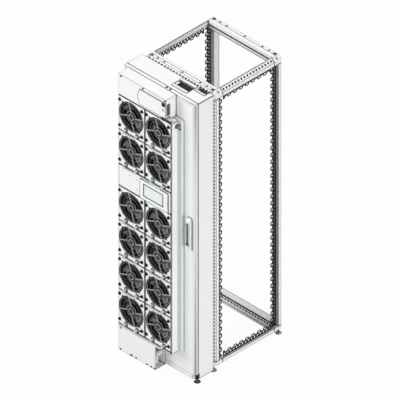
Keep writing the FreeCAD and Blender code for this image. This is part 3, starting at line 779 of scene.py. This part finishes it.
thumb_places = [
    Vector((x, 0, z)) for left, top in fans
    for x in (left + 0.010, left + 0.195) for z in (top - 0.029, top - module_height + 0.035)]
thumb = round_bar("thumb_screw", 0.0088, (0, plate_front, 0), (0, plate_front - 0.007, 0), 20)
shape(thumb)
pick_front(thumb)
bpy.ops.mesh.inset(thickness=0.0016)
bpy.ops.transform.translate(value=(0, -0.0012, 0))
sink(0.0036, (0, 0.004, 0))
bpy.ops.mesh.select_all(action="DESELECT")
pick(thumb, lambda middle, face: abs(face.normal.y) < 0.2 and math.hypot(middle.x, middle.z) > 0.0078)
bpy.ops.mesh.inset(thickness=0.0004, use_individual=True)
bpy.ops.mesh.extrude_faces_move(TRANSFORM_OT_shrink_fatten={"value": 0.0005})
done()
copies(thumb, "thumb_screws", thumb_places)
fit(thumb, oxide, "door", "zinc_steel")

key = block("key_mark", (-0.0085, plate_front - 0.0016, -0.0036), (0.0085, plate_front, 0.0036))
shape_all(key)
bpy.ops.transform.rotate(value=math.radians(35), orient_axis="Y", center_override=(0, plate_front, 0))
done()
soften(key, 0.0005)
copies(key, "key_marks", [Vector((left + 0.183, 0, top - module_height + 0.029)) for left, top in fans])
fit(key, oxide, "door", "zinc_steel")

lug = screw_head((0, plate_front, 0), (0, -1, 0), 0.0062, 0.002)
lug_angles = [math.radians(angle) for angle in (133, -50)]
around = [Vector((math.cos(angle), 0, math.sin(angle))) * 0.1045 for angle in lug_angles]
copies(lug, "fan_screws", [place + out for place in centres for out in around])
fit(lug, oxide, "door", "zinc_steel")

# Gap seals
# Thin black rubber strips close the gaps between the plates, round the band and along the right edge.
# They stand 0.4 mm proud of the plates and show as the dark lines of the fan wall.
seal_low, seal_high = plate_front - 0.0004, plate_back
wall_left, wall_right = module_lefts[0], housing_high.x
strips = []
for z in tops + [tops[1] - module_pitch, tops[-1] - module_pitch]:
    strips.append(block("gap_seal", (wall_left, seal_low, z - 0.0005), (wall_right, seal_high, z + 0.0070)))
corner = (wall_right - 0.0001, seal_high, housing_high.z - 0.001)
strips.append(block("gap_seal", (wall_right - 0.0065, seal_low, housing_low.z), corner))
fit(one("gap_seals", strips), rubber, "door", "seal_rubber")

# Module handles
# Bent round steel bars, coated pale, whose feet stand on the plate.
# One crosses the foot of each fan plate, and a ring of black rubber lies round each foot.
handle_coat = coated("powder_coated_handle_bar", "#ECEEEE", "#080808", 0.0050, 1.0, 0.35)
dress("fan_handles", "bent_handles", 0.0042, handle_coat, "door", "handle_metal", 3)


def hoop(name, radius, thick, place, sides, depth):
    """A ring of round wire in an upright plane, its depth scaled."""
    bpy.ops.object.select_all(action="DESELECT")
    bpy.ops.mesh.primitive_torus_add(
        major_radius=radius, minor_radius=thick, major_segments=sides, minor_segments=6,
        location=place, rotation=(math.radians(90), 0, 0))
    bpy.ops.object.transform_apply(location=True, rotation=True, scale=True)
    ring = bpy.context.object
    ring.name = name
    shape_all(ring)
    bpy.ops.transform.resize(value=(1, depth, 1), center_override=place)
    done()
    return ring


washer = hoop("washer", 0.0140, 0.0026, (0, plate_front, 0), 32, 0.7)
places = [
    Vector((left + along, 0, top - module_pitch + 0.0225)) for left, top in fans for along in (0.063, 0.157)]
copies(washer, "handle_washers", places)
fit(washer, rubber, "door", "seal_rubber")

# Fan guards
# Pale rings and four leaning struts hold the motor, under a black boss, in the middle of each opening.
# The lower right quarter carries the moulded box for the lead and its plug.
# Glass filled PBT: near black, with a pale painted highlight along its edges that draws the boss and the box.
guard_plastic = moulded("glass_filled_pbt", 800.0, 0.0030, 6, 0.8, 0.12, "#0A0A0B", "#B4B7B9", 0.45)
# The same plastic in pale grey, a little darker where the mould halves meet.
pale_plastic = two_tone("pale_glass_filled_pbt", 300.0, 2.0, "#A4A6A8", "#8C8F91", {"Roughness": 0.5})
ring_y = plate_back - 0.0012
boss_front = -0.3972
parts = []
# The ring on the boss is flattened; the three round it are deeper than they are wide.
for radius, thick, y, depth in (
    (0.0185, 0.0030, boss_front, 0.25), (0.0390, 0.0015, ring_y, 1.4),
    (0.0700, 0.0006, ring_y, 1.4), (0.0920, 0.0008, ring_y, 1.4),
):
    parts.append(hoop("wire", radius, thick, (centre.x, y, centre.z), 56, depth))
# Each strut starts at the boss's edge, leans 19 degrees there, and is then turned to its place.
strut_root = 0.030
for turn in (1, 91, 181, 271):
    strut = block(
        "strut", (centre.x + strut_root, plate_front + 0.0002, centre.z - 0.0034),
        (centre.x + 0.101, plate_back, centre.z + 0.0034))
    shape_all(strut)
    for angle, pivot in ((19, centre.x + strut_root), (turn, centre.x)):
        bpy.ops.transform.rotate(
            value=math.radians(angle), orient_axis="Y", center_override=(pivot, 0, centre.z))
    done()
    parts.append(strut)
# A small ring and an upright bar stand on the plug box.
parts.append(hoop("plug_ring", 0.0120, 0.0024, (centre.x + 0.051, plate_back, centre.z - 0.036), 24, 1))
corner = (centre.x + 0.0705, plate_front + 0.0004, centre.z - 0.034)
parts.append(block("bar", corner, (centre.x + 0.0765, plate_back, centre.z)))
guard = one("guard", parts)
soften(guard, 0.0004, 1)
copies(guard, "fan_guard_rings", pitches)
fit(guard, pale_plastic, "door", "fan_plastic", "fan_guards")


def press(piece, rim, depth):
    """Moves the middle of the front face in by a depth, inside a rim."""
    shape(piece)
    pick_front(piece)
    sink(rim, (0, depth, 0))
    done()


boss = fan_bar("boss", 0.031, -0.3925, boss_front, 40)
press(boss, 0.016, 0.0020)
copies(boss, "fan_bosses", pitches)
fit(boss, polyamide, "door", "fan_plastic")

# The plug box is the part of a disc between two radii, 8 degrees above and 52 below the level.
plug_box = fan_bar("plug_box", 0.093, -0.3935, -0.3890, 64)
shape(plug_box)
for angle, inside in ((8, False), (-52, True)):
    turn = math.radians(angle)
    bpy.ops.mesh.select_all(action="SELECT")
    bpy.ops.mesh.bisect(
        plane_co=centre, plane_no=(-math.sin(turn), 0, math.cos(turn)), use_fill=True,
        clear_outer=not inside, clear_inner=inside)
done()
cut(plug_box, fan_bar("hub_room", 0.047, -0.41, -0.36, 48))
press(plug_box, 0.0045, 0.0025)
soften(plug_box, 0.0008)
copies(plug_box, "fan_plug_boxes", pitches)
fit(plug_box, guard_plastic, "door", "fan_plastic")

# Fan shrouds
# A black moulded wall ring round each impeller, fixed behind the plate.
shroud = fan_bar("shroud", 0.1012, plate_back, -0.343, 64)
cut(shroud, fan_bar("bore", 0.0965, plate_back - 0.01, -0.33, 64))
smooth(35)
copies(shroud, "fan_shrouds", pitches)
fit(shroud, polyamide, "door", "fan_plastic")

# Impellers
# A moulded hub over the motor with seven twisted and swept blades, in one piece of black plastic.
# Each turns on the shaft in the middle of its guard.
blade_plastic, tree, shader, place = begin("black_moulded_impeller")
flow = add(tree, "TexNoise", {"Vector": place, "Scale": 90.0, "Detail": 3.0})
tone = add(tree, "MixRGB", {"Fac": flow.outputs["Fac"], "Color1": tint("#070708"), "Color2": tint("#101112")})
# Painted highlight: the edges turn a paler grey over 1.4 mm.
edge = edge_share(tree, 0.0014, 4, 0.99, 0.8, 0.7, "Normal")
mix_base(tree, shader, edge, tone.outputs["Color"], tint("#26282A"))
set_sockets(shader, {"Roughness": 0.38})
rotor_front, rotor_back = -0.3865, -0.3485
middle_y = (rotor_front + rotor_back) / 2
blade_root, blade_tip = 0.028, 0.094
blade_half = 0.0009
blade_count = 7
blade_parts = []
for number in range(blade_count):
    # The blade is cut into a grid as a flat sheet 1 m wide, and each point is then put in its place.
    blade = block("blade", (blade_root, middle_y - blade_half, -0.5), (blade_tip, middle_y + blade_half, 0.5))
    shape(blade)
    pick(blade, lambda middle, edge: abs(edge.verts[0].co.x - edge.verts[1].co.x) > 0.01, "edges")
    bpy.ops.mesh.subdivide(number_cuts=5)
    bpy.ops.mesh.select_all(action="DESELECT")
    pick(blade, lambda middle, edge: abs(edge.verts[0].co.z - edge.verts[1].co.z) > 0.5, "edges")
    bpy.ops.mesh.subdivide(number_cuts=5)
    mesh = bmesh.from_edit_mesh(blade.data)
    for vert in mesh.verts:
        radius = vert.co.x
        reach = (radius - blade_root) / 0.066
        chord = 0.040 + 0.026 * reach
        pitch = math.radians(44 - 20 * reach)
        across = vert.co.z * chord
        camber = 0.0045 * (1 - (2 * vert.co.z) ** 2)
        side = vert.co.y - middle_y + camber
        sweep = 0.014 * reach ** 2 + across * math.cos(pitch) + side * math.sin(pitch)
        angle = sweep / max(radius, 0.03)
        vert.co.y = middle_y - across * math.sin(pitch) + side * math.cos(pitch)
        vert.co.x = radius * math.cos(angle)
        vert.co.z = radius * math.sin(angle)
    bmesh.update_edit_mesh(blade.data)
    bpy.ops.mesh.select_all(action="SELECT")
    bpy.ops.transform.rotate(
        value=math.radians(360 * number / blade_count), orient_axis="Y", center_override=(0, 0, 0))
    done()
    blade_parts.append(blade)
hub = round_bar("hub", 0.034, (0, rotor_front, 0), (0, rotor_back, 0), 40)
shape(hub)
pick_front(hub)
bpy.ops.mesh.inset(thickness=0.004)
bpy.ops.transform.translate(value=(0, -0.0012, 0))
sink(0.012, (0, 0.0025, 0))
done()
impeller = one("impeller", [hub] + blade_parts)
smooth(40)
# Each stands at another angle, as fans do when they stop.
for number, place in enumerate(centres, 1):
    tag = str(number).zfill(2)
    copy = bpy.data.objects.new("impeller_" + tag, impeller.data.copy())
    copy.data.transform(Matrix.Translation(place) @ Matrix.Rotation(math.radians(17 * number), 4, "Y"))
    bpy.context.scene.collection.objects.link(copy)
    fit(copy, blade_plastic, "rotor_" + tag, "fan_plastic", "fan_rotor_" + tag)
bpy.data.objects.remove(impeller)

# Display band
# A blank plate and, on its right, the operating panel: a moulded frame round a pale glass screen.
# Four rivets show on the plate, and a black bead seals the glass.
finish_node(plate_coat, "band_plate")
dress("display_panel", "operating_panel", 0.0014, plate_coat, "door", "sheet_paint", 3)
screen_low, screen_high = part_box("display_screen")
bead = block(
    "screen_bead", (screen_low.x + 0.0002, screen_low.y - 0.0001, screen_low.z + 0.0002),
    (screen_high.x - 0.0002, screen_high.y - 0.0002, screen_high.z - 0.0002))
shape(bead)
pick_front(bead)
sink(0.0062, (0, 0.0003, 0))
bpy.ops.mesh.delete(type="FACE")
done()
fit(bead, polyamide, "door", "display_glass")
# Hardened glass over a screen that is lit pale: a smooth grey-white with a sharp gloss.
glass = two_tone(
    "screen_glass", 9.0, 1.0, "#F2F5F6", "#E2E8EA", {"Roughness": 0.08, "Coat Weight": 0.5})
finish_node(glass, "display_screen")
rivets = [(x, plate_front, z) for x in (-0.160, -0.102) for z in (1.325, 1.254)]
front_screws("band_rivets", rivets, 0.0032, 0.0014, zinc)
panel_dot = screw_head((0.1575, -0.3999, 1.283), (0, -1, 0), 0.0028, 0.0008)
panel_dot.name = "panel_dot"
fit(panel_dot, oxide, "door", "zinc_steel")

# Control box
# A folded and coated steel box on top of the fan wall, with a raised cover, latches and a louvred vent.
# Three black screws close it along its top edge.
dress("control_box", "folded_control_box", 0.0012, soft_coat, "door", "sheet_paint", 3)
dress("control_box_cover", "control_cover", 0.0007, plate_coat, "door", "sheet_paint")
control_low, control_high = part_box("control_box")
control_right = control_high.x
# A strip of black rubber fills the groove between the box's top and the rounded edge of the leaf.
joint = block(
    "control_box_joint", (control_low.x, control_high.y - 0.0010, 2.0090),
    (control_right, control_high.y + 0.0050, 2.0190))
fit(joint, rubber, "door", "seal_rubber")
cover_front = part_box("control_box_cover")[0].y
front_screws("control_box_screws", [(x, plate_front, 2.0125) for x in (-0.234, -0.050, 0.135)], 0.0058, 0.003)
latch = block("cover_latch", (0.112, cover_front - 0.005, 1.972), (0.136, cover_front, 1.992))
press(latch, 0.004, 0.003)
soften(latch, 0.0008)
tab = block("cover_tab", (0.118, cover_front - 0.002, 1.934), (0.124, cover_front, 1.950))
soften(tab, 0.0007)
foot_latch = block("foot_latch", (0.110, cover_front - 0.006, 1.872), (0.139, cover_front + 0.003, 1.889))
press(foot_latch, 0.0035, -0.003)
soften(foot_latch, 0.0008)
clip = block("housing_clip", (0.154, plate_front - 0.003, 1.8705), (0.172, plate_front + 0.010, 1.8755))
soften(clip, 0.0008)
latches = one("control_box_latches", [latch, tab, foot_latch, clip])
fit(latches, polyamide, "door", "grip_plastic")
vent_low = Vector((control_right - 0.0028, -0.3885, 1.9055))
vent_high = Vector((control_right - 0.0004, -0.3645, 1.9845))
back = block("vent_back", vent_low, (vent_low.x + 0.0006, vent_high.y, vent_high.z))
corner = (vent_low.x + 0.0006, vent_low.y, vent_low.z + 0.001)
slat = block("slat", corner, (vent_high.x, vent_high.y, vent_low.z + 0.0035))
shape(slat)
# The slats slope down to the outside.
pick(slat, lambda middle, edge: (
    middle.x > vent_high.x - 0.0002 and abs(edge.verts[0].co.y - edge.verts[1].co.y) > 0.01), "edges")
bpy.ops.transform.translate(value=(0, 0, -0.001))
done()
row_of(slat, 13, (0, 0, 0.006))
vent = one("control_box_vent", [back, slat])
vent_metal = coated("grey_vent_steel", "#7E8183", "#101112", 0.0024, 0.9, 0.5)
fit(vent, vent_metal, "door", "sheet_paint")

# Connector block and cable gland
# A moulded socket on the housing's top, and a screwed cable gland in its right side.
socket = copy_of("connector_block", "connector_socket")
shape(socket)
pick(socket, lambda middle, face: face.normal.z > 0.9)
sink(0.004, (0, 0, -0.003))
done()
soften(socket, 0.0009)
socket_plastic = coated("pale_moulded_socket", "#EEEEEC", "#050505", 0.0065, 1.0, 0.4)
fit(socket, socket_plastic, "door", "sheet_paint", "connector_block")
gland_plastic = coated("grey_moulded_gland", "#8C8F92", "#0C0C0D", 0.0060, 1.0, 0.5)
dress("cable_gland", "screwed_gland", 0.0010, gland_plastic, "door", "grip_plastic")

# Lower box
# A folded and coated box at the foot of the door, open at its right end, where the pipes come down.
# Black screws stand along the front plate's lower edge.
dress("lower_box", "folded_lower_box", 0.0007, soft_coat, "door", "sheet_paint")
spots = [(x, 0.0305, 0.0052, 0.003) for x in (-0.237, -0.150, -0.107, -0.015, 0.020, 0.047, -0.143)]
spots.append((-0.2365, 0.185, 0.0045, 0.0025))
lower_screws = [screw_head((x, plate_front, z), (0, -1, 0), radius, height) for x, z, radius, height in spots]
lower_screws = one("lower_box_screws", lower_screws)
fit(lower_screws, oxide, "door", "zinc_steel")
# Closed-cell foam round the water pipes, pale grey, with open cells at the skin.
foam, tree, shader, place = begin("pipe_insulation_foam")
cells = add(tree, "TexVoronoi", {"Vector": place, "Scale": 450.0}).outputs["Distance"]
mix_base(tree, shader, cells, tint("#D2D5D6"), tint("#ECEEEF"))
roughen(tree, shader, cells, 0.3, 0.0006)
set_sockets(shader, {"Roughness": 0.85})
dress("pipe_elbows", "insulated_elbows", 0.0015, foam, "door", "copper_pipe")

# Door handle
# A cast and coated handle with a long grip recess, its ends sloped down to the leaf.
# A grey moulded insert lies in the recess.
dress("door_handle", "cast_door_handle", 0.0035, plate_coat, "door", "sheet_paint", 4)
pull_low, pull_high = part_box("door_handle")
grip = block(
    "grip_insert", (pull_low.x + 0.0075, pull_low.y + 0.0115, pull_low.z + 0.0385),
    (pull_high.x - 0.0075, pull_low.y + 0.0138, pull_high.z - 0.0385))
press(grip, 0.003, 0.001)
soften(grip, 0.0006)
grip_plastic = coated("grey_moulded_grip", "#C4C7C9", "#1A1B1C", 0.0060, 0.9, 0.5)
fit(grip, grip_plastic, "door", "grip_plastic")

# Coil
# A galvanised casing round a block of thin aluminium fins on rows of copper tubes.
# Copper headers stand at its right and feed each row.
low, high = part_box("coil_core")
fin_pitch = 0.004
fin = block("fin", (low.x, low.y, low.z), (low.x + 0.0004, high.y, high.z))
fins = row_of(fin, int((high.x - low.x) / fin_pitch), (fin_pitch, 0, 0))
fins.name = "coil_fins"
# Rolled aluminium: a bright fine-grained grey that darkens between the fins.
aluminium, tree, shader, place = begin("rolled_aluminium_fin")
stretch = add(tree, "Mapping", {"Vector": place, "Scale": (40.0, 40.0, 600.0)}).outputs["Vector"]
grain = add(tree, "TexNoise", {"Vector": stretch, "Scale": 1.0, "Detail": 3.0})
mix_base(tree, shader, grain.outputs["Fac"], tint("#C9CCCE"), tint("#A2A6A9"))
set_sockets(shader, {"Metallic": 1.0, "Roughness": 0.4})
fit(fins, aluminium, "door", "fin_aluminium", "coil_core")
tube_rows = []
for y in (low.y + 0.016, high.y - 0.016):
    tube = round_bar("tube", 0.0048, (low.x, y, low.z + 0.020), (high.x + 0.010, y, low.z + 0.020), 10)
    tube_rows.append(row_of(tube, 47, (0, 0, 0.040)))
tubes = one("coil_tubes", tube_rows)
smooth(40)
# Drawn copper, dulled by handling, with darker patches where it was brazed.
copper = two_tone("drawn_copper", 45.0, 5.0, "#C77F55", "#8A4F34", {"Metallic": 1.0, "Roughness": 0.34})
fit(tubes, copper, "door", "copper_pipe")
headers = copy_of("coil_headers", "copper_headers")
smooth(40)
fit(headers, copper, "door", "copper_pipe", "coil_headers")
# Hot-dip galvanised sheet: grey zinc with spangle about 8 mm across.
galvanised, tree, shader, place = begin("galvanised_sheet")
spangle = add(tree, "TexVoronoi", {"Vector": place, "Scale": 120.0}).outputs["Color"]
mix_base(tree, shader, spangle, tint("#A9ADAF"), tint("#C6C9CB"))
set_sockets(shader, {"Metallic": 0.9, "Roughness": 0.42})
dress("coil_casing", "folded_coil_casing", 0.0005, galvanised, "door", "galvanised")
